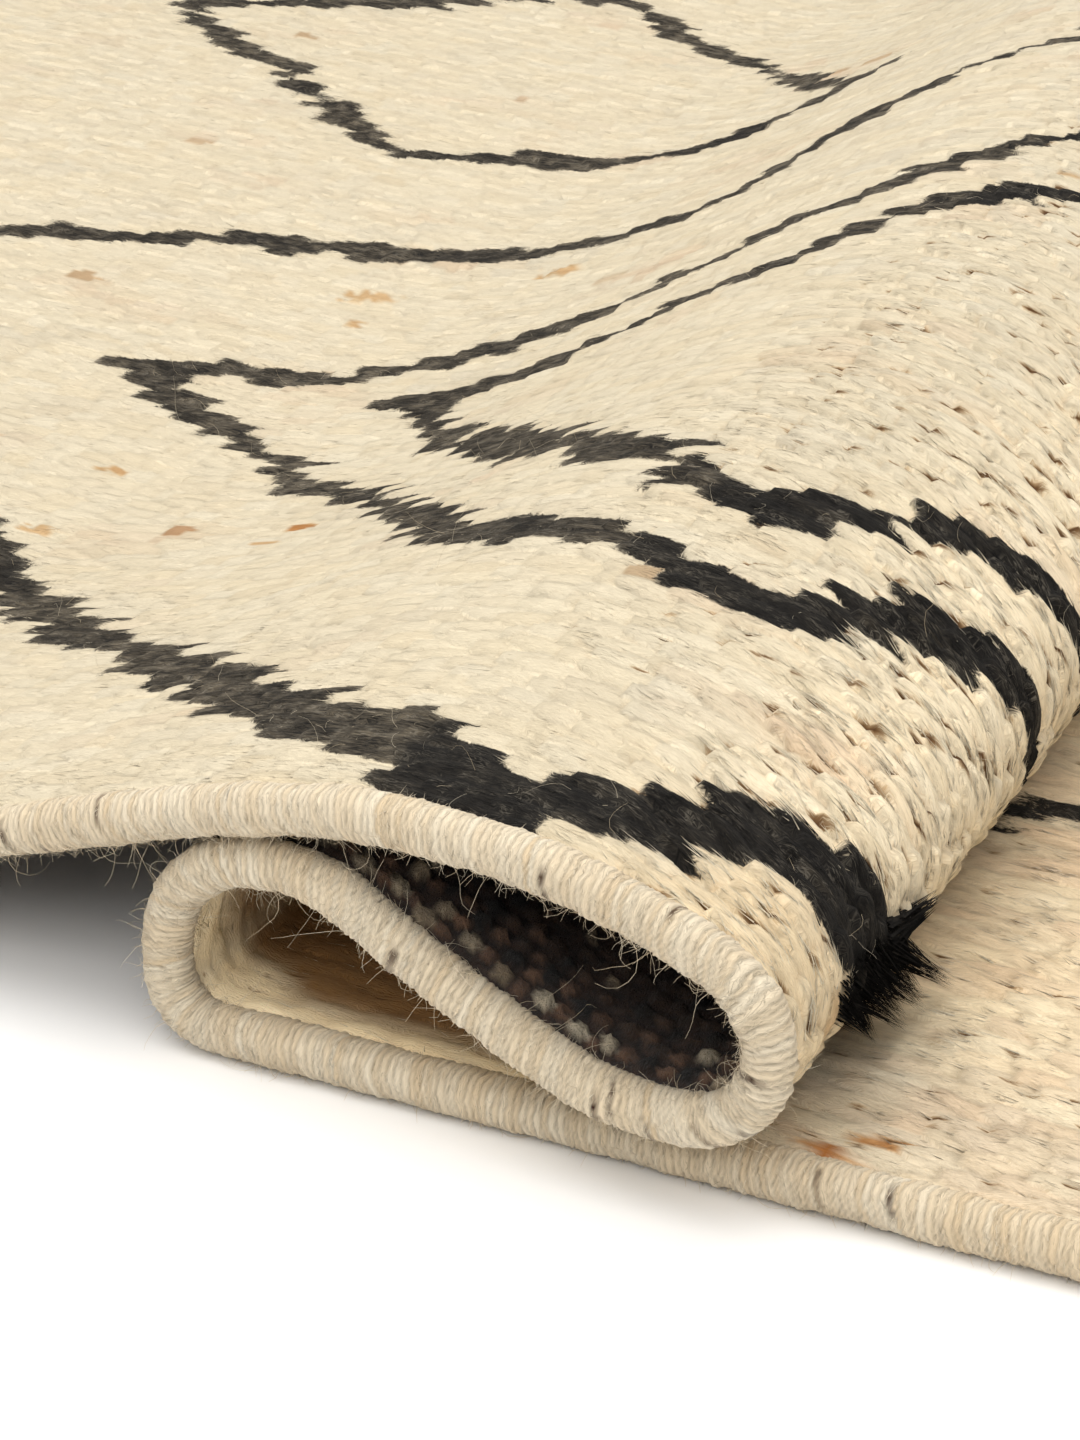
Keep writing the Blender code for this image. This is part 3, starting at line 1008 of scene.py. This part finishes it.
def makeGround():
    columns = spacedLines(1.8, fieldEnd / mm, stepFrom([(30, 0.8), (60, 1.5), (120, 3.0), (999, 5.0)]))
    rowSteps = [(ground["fineFrom"], 3.6), (ground["fineTo"], 0.85), (999, 4.2)]
    shares = spacedLines(0, fold["length"], stepFrom(rowSteps)) / fold["length"]
    alongGrid = shares[:, None] * leftEndAlong(columns * mm)[None, :] / mm
    acrossGrid = np.broadcast_to(columns, alongGrid.shape)
    nub, tone = backNubs(alongGrid, acrossGrid)
    weft = 0.12 * np.sin(alongGrid * 2 * math.pi / 1.6 + drift(alongGrid, acrossGrid, 9, 41))
    depth = ground["back"] - ground["nub"] * nub - weft * (nub < 0.1)
    back = onFloor(place(alongGrid * mm, acrossGrid * mm, depth * mm), 0.0).reshape(-1, 3)
    rowPick = np.unique(np.concatenate([np.arange(0, len(shares), 4), [len(shares) - 1]]))
    columnPick = np.unique(np.concatenate([np.arange(0, len(columns), 6), [len(columns) - 1]]))
    faceAlong = alongGrid[np.ix_(rowPick, columnPick)]
    faceAcross = acrossGrid[np.ix_(rowPick, columnPick)]
    face = place(faceAlong * mm, faceAcross * mm, ground["face"] * mm).reshape(-1, 3)
    backIndex = np.arange(alongGrid.size).reshape(alongGrid.shape)
    faceIndex = np.arange(faceAlong.size).reshape(faceAlong.shape) + len(back)
    rims = []
    edges = [
        (backIndex[0], faceIndex[0], columnPick, False),
        (backIndex[-1], faceIndex[-1], columnPick, True),
        (backIndex[:, 0], faceIndex[:, 0], rowPick, True),
        (backIndex[:, -1], faceIndex[:, -1], rowPick, False),
    ]
    for backLine, faceLine, pick, flip in edges:
        order = -1 if flip else 1
        for number in range(len(pick) - 1):
            start, end = pick[number], pick[number + 1]
            middle = (start + end) // 2
            for k in range(start, end):
                apex = faceLine[number] if k < middle else faceLine[number + 1]
                rims.append((backLine[k], backLine[k + 1], apex)[::order])
            rims.append((backLine[middle], faceLine[number + 1], faceLine[number])[::order])
    faceTone = blended(colours["weft"], colours["warp"], rng.uniform(0, 1, faceAlong.shape))
    backTone = tone * rng.uniform(0.8, 1.15, (*nub.shape, 1))
    tint = np.concatenate([backTone.reshape(-1, 3), faceTone.reshape(-1, 3)])
    strand = np.stack([np.concatenate([alongGrid.ravel(), faceAlong.ravel()]),
                       np.concatenate([acrossGrid.ravel(), faceAcross.ravel()]),
                       np.concatenate([np.zeros(len(back)), np.full(len(face), 9.0)])], axis=1)
    faces = [gridFaces(*alongGrid.shape, 0, True), gridFaces(*faceAlong.shape, len(back), False),
             np.array(rims)]
    piece = meshPiece("rug_ground", np.concatenate([back, face]), faces, tint, strand, groundWeave)
    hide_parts("rug_field")
    flatLength = float(leftEndAlong(np.array([fold["depth"] / 2]))[0])


makeGround()

cord = {
    "radius": 3.22,      # mm, to the valleys between the wraps
    "rise": 0.5,         # how far its centre lies above the fold line
    "pitch": 0.86,       # one wrap of yarn
    "relief": 0.30,
    "around": 24,
    "step": 0.28,
    "slant": 1.0,        # how far a wrap leans along the cord
    "brownShare": 0.006,
}
# dark wraps, most of them where the fold opens to view: along in mm, turn in degrees
brownWraps = [(274, 15), (305, 10), (307, -35), (311.5, 20), (318, 25), (322, 60), (352, 95), (446, -70)]


def cordSurface(along, turn, radius):
    # turn 0 is the outer side, a quarter turn is the pile side
    return place(along * mm, -radius * mm * np.cos(turn), (cord["rise"] + radius * np.sin(turn)) * mm)


def wrapCord():
    end = float(leftEndAlong(np.array([0.0]))[0]) / mm
    edges = np.cumsum(rng.uniform(0.6, 1.4, int(end / cord["pitch"]) + 40) * cord["pitch"]) - 12
    wraps = len(edges)
    slant = cord["slant"] * (1 + 0.6 * drift(edges, 0 * edges, 34, 31))
    along = np.linspace(0, end, int(end / cord["step"]) + 1)[:, None]
    turn = (2 * math.pi * np.arange(cord["around"]) / cord["around"])[None, :]
    lean = np.interp(along, edges, slant)
    wound = (along - lean * np.sin(turn + 0.5)
             + 0.22 * drift(along * 1.0, turn * 6.0, 7, 34) + 0.10 * drift(along, turn * 6.0, 2.6, 35))
    number = np.clip(np.searchsorted(edges, wound) - 1, 0, wraps - 2)
    share = (wound - edges[number]) / (edges[number + 1] - edges[number])
    profile = 1 - (2 * share - 1) ** 2
    bundle = drift(along, turn * 1.5, 11, 32)
    proud = rng.normal(0, 1, wraps)
    radius = (cord["radius"] - 0.06 + cord["relief"] * profile ** 0.7 + 0.12 * bundle + 0.07 * proud[number]
              + 0.08 * drift(along, turn * 5.0, 2.2, 36))
    points = onFloor(cordSurface(along, turn, radius), 0.0).reshape(-1, 3)
    pale = np.clip(rng.normal(0.5, 0.4, wraps), 0, 1)
    straw = np.clip(rng.normal(0.10, 0.20, wraps) + 0.2 * drift(edges, 0 * edges, 30, 33), 0, 0.7)
    tone = blended(blended(colours["cord"], colours["cordPale"], pale), colours["cordStraw"], straw)
    # painted shade: each wrap is darker towards the valleys between the wraps
    tint = tone[number] * (0.66 + 0.39 * profile ** 0.6)[..., None]
    shownAt = rng.uniform(-0.6, 1.9, wraps)
    brown = rng.uniform(0, 1, wraps) < cord["brownShare"]
    for middle, degrees in brownWraps:
        pick = np.argmin(np.abs(edges - middle))
        brown[pick] = True
        shownAt[pick] = math.radians(degrees)
    reach = np.cos(turn - shownAt[number])
    dark = (brown[number] * smoothStep((reach - 0.62) / 0.25) * smoothStep(profile * 1.6)
            * (0.75 + 0.25 * drift(along, turn * 9.0, 3, 37)))
    tint = blended(tint, colours["cordBrown"] * 0.8, dark)
    strand = np.stack([wound + number * 0.7, np.abs((turn + 0 * wound) / math.pi - 1) * 10.5 + wound * 0.1,
                       0 * wound], axis=-1)
    rows, around = radius.shape
    index = np.arange(rows * around).reshape(rows, around)
    ahead = np.roll(index, -1, axis=1)
    walls = np.stack([index[:-1], index[1:], ahead[1:], ahead[:-1]], axis=-1).reshape(-1, 4)
    piece = meshPiece("selvedge_wraps", points, [walls[:, ::-1], index[:1], index[-1:, ::-1]],
                      tint.reshape(-1, 3), strand.reshape(-1, 3), cordWool)
    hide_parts("selvedge_cord")


wrapCord()

strays = {
    "thickness": 0.034,  # half thickness in mm
    "steps": 8,
    "cordCount": 460,
    "fuzzSteps": 3,
    "fuzzCount": 3000,
    "lintCount": 7000,
    "pileCount": 480,
    "pileSteps": 6,
    "pileThickness": 0.024,
    "cordTo": 742,       # the last place along the cord, mm
    "pileFrom": 300,     # the pile's hairs grow from here along
    "pileTo": 735,
    "pileDepth": 200,    # and this far from the selvedge
}


def strayHairs(name, start, heading, length, curl, tone, steps, thickness):
    # fine single hairs that curl away from where they leave the wool
    count = len(start)
    paths = np.zeros((count, steps, 3))
    paths[:, 0] = start
    way = unit(heading)
    axis = unit(rng.normal(0, 1, (count, 3)))
    for step in range(1, steps):
        axis = unit(axis + rng.normal(0, 0.35, (count, 3)))
        way = unit(way + np.cross(axis, way) * curl[:, None] + rng.normal(0, 0.12, (count, 3)))
        paths[:, step] = paths[:, step - 1] + way * (length / (steps - 1) * mm)[:, None]
    paths = onFloor(paths, 0.0003)
    taper = np.linspace(1.0, 0.45, steps)[None, :] * thickness * mm
    lift = np.broadcast_to(unit(rng.normal(0, 1, (count, 1, 3))), paths.shape)
    points, faces, normals = tubes(paths, lift, taper, 3)
    each = steps * 3
    strand = np.repeat(rng.uniform(0, 90, (count, 3)), each, axis=0)
    meshPiece(name, points, faces, np.repeat(tone, each, axis=0), strand, strayWool,
              normals=normals)


def cordStrays(name, count, longest, curl, steps):
    along = rng.uniform(0, strays["cordTo"], count)
    aboutFold = rng.uniform(0, 1, count) < 0.5  # more of them round the folded part
    along = np.where(aboutFold, rng.uniform(195, 480, count), along)
    turn = rng.normal(-1.2, 0.8, count)
    turn = np.where((along > 205) & (along < 330), rng.uniform(-2.4, 2.4, count), turn)
    start = cordSurface(along, turn, 3.3)
    ahead = unit(cordSurface(along + 1, turn, 3.3) - start)
    outward = unit(start - cordSurface(along, turn, 0.1))
    aside = np.cross(outward, ahead) * np.where(rng.uniform(0, 1, (count, 1)) < 0.5, -1, 1)
    heading = (outward * rng.uniform(0.05, 0.7, (count, 1)) + ahead * rng.normal(0, 0.7, (count, 1))
               + aside * rng.uniform(0, 0.9, (count, 1)))
    length = np.clip(rng.gamma(3.0, longest / 6, count), longest * 0.15, longest)
    tone = blended(colours["cordPale"], colours["cordStraw"], rng.uniform(0, 0.6, count)) * 0.95
    curl = curl * rng.uniform(0.2, 1, count)
    strayHairs(name, start, heading, length, curl, tone, steps, strays["thickness"])


def cordLint():
    # short fine hairs that lie on the cord, most of them with its wraps
    count = strays["lintCount"]
    along = rng.uniform(1, strays["cordTo"], count)
    turn = rng.uniform(-2.2, 2.4, count)
    turnBy = rng.uniform(0.2, 0.6, count) * np.where(rng.uniform(0, 1, count) < 0.5, -1, 1)
    root = cordSurface(along, turn, 3.38)
    tip = cordSurface(along + rng.normal(0, 0.5, count), turn + turnBy, 3.5 + rng.gamma(1.5, 0.22, count))
    out = unit(root - cordSurface(along, turn, 0.1))
    tone = blended(colours["cordPale"], colours["cordStraw"], rng.uniform(0, 0.6, count))
    strand = np.stack([along * 3, turn * 3, 0 * along], axis=1)
    spikePiece("selvedge_lint", root, tip, np.full(count, 0.045 * mm), out, tone, strand, strayWool)


def layStrays():
    cordLint()
    cordStrays("selvedge_stray_hairs", strays["cordCount"], 10, 0.6, strays["steps"])
    cordStrays("selvedge_fuzz", strays["fuzzCount"], 3.4, 1.0, strays["fuzzSteps"])
    count = strays["pileCount"]
    along = rng.uniform(strays["pileFrom"], strays["pileTo"], count)
    across = rng.uniform(4, strays["pileDepth"], count)
    onBlack = rng.uniform(0, 1, count) < 0.6
    darkRow, darkColumn = np.nonzero(knotBlack & (knotAlong > strays["pileFrom"]) & (knotAcross < 230))
    pick = rng.integers(0, len(darkRow), count)
    along = np.where(onBlack, knotAlong[darkRow, darkColumn][pick] + rng.uniform(4, 18, count), along)
    across = np.where(onBlack, knotAcross[darkRow, darkColumn][pick] + rng.uniform(-3, 3, count), across)
    along = np.minimum(along, leftEndAlong(across * mm) / mm - 8)
    height = combPile(along, across)[0] + 0.08
    start = place(along * mm, across * mm, height * mm)
    nap, over, out = surfaceFrame(along * mm, across * mm)
    heading = nap * rng.normal(0.5, 0.8, (count, 1)) + over * rng.normal(0, 0.6, (count, 1)) + out * 0.16
    length = np.clip(rng.gamma(3.0, 1.3, count), 2.0, 9)
    tone = blended(colours["cream"], colours["straw"], rng.uniform(0, 0.7, count))
    curl = rng.uniform(0.1, 0.7, count)
    strayHairs("pile_stray_hairs", start, heading, length, curl, tone * 0.85, strays["pileSteps"],
               strays["pileThickness"])


layStrays()


studio = {
    "cameraAt": (0.1497, -0.3460, 0.2549),  # in the fold's own frame, before it is shifted to the CAD's
    "pitch": 62.9,
    "turn": 25.3,
    "lens": 90,
}


def makeFloor():
    bpy.ops.mesh.primitive_plane_add(size=6, location=(0, 0, -0.0003))
    floor = bpy.context.object
    floor.name = "studio_floor"
    finish = Finish("studio_floor", Base_Color=(0.95, 0.948, 0.944, 1), Roughness=0.9, Specular_IOR_Level=0.1)
    floor.data.materials.append(finish.material)


def makeLight(name, size, power, location, target, colour):
    data = bpy.data.lights.new(name, "AREA")
    data.shape = "RECTANGLE"
    data.size, data.size_y = size
    data.energy = power
    data.color = colour
    light = bpy.data.objects.new(name, data)
    light.location = location
    direction = np.array(target) - np.array(location)
    tilt = math.atan2(math.hypot(direction[0], direction[1]), -direction[2])
    light.rotation_euler = (tilt, 0, math.atan2(direction[1], direction[0]) - math.pi / 2)
    bpy.context.scene.collection.objects.link(light)


def makeCamera():
    data = bpy.data.cameras.new("camera")
    data.lens = studio["lens"]
    data.clip_start = 0.02
    camera = bpy.data.objects.new("camera", data)
    x, y, z = studio["cameraAt"]
    camera.location = (x + shiftX, y + shiftY, z)
    camera.rotation_euler = (math.radians(studio["pitch"]), 0, math.radians(studio["turn"]))
    bpy.context.scene.collection.objects.link(camera)
    bpy.context.scene.camera = camera


makeFloor()
makeLight("overhead", (2.4, 2.0), 41.8, (-0.2, 0.1, 1.7), (0, 0, 0), (1.0, 0.985, 0.96))
makeLight("right", (1.4, 1.1), 8.8, (0.95, -0.9, 1.5), (0, 0, 0), (1.0, 0.985, 0.96))
makeLight("front", (1.6, 0.8), 9.6, (0.05, -1.4, 1.15), (0, -0.2, 0), (1.0, 0.985, 0.96))
makeCamera()
world = bpy.data.worlds.new("studio")
world.use_nodes = True
world.node_tree.nodes["Background"].inputs["Color"].default_value = (1.0, 0.99, 0.975, 1)
world.node_tree.nodes["Background"].inputs["Strength"].default_value = 0.32
bpy.context.scene.world = world
bpy.context.scene.view_settings.view_transform = "Standard"
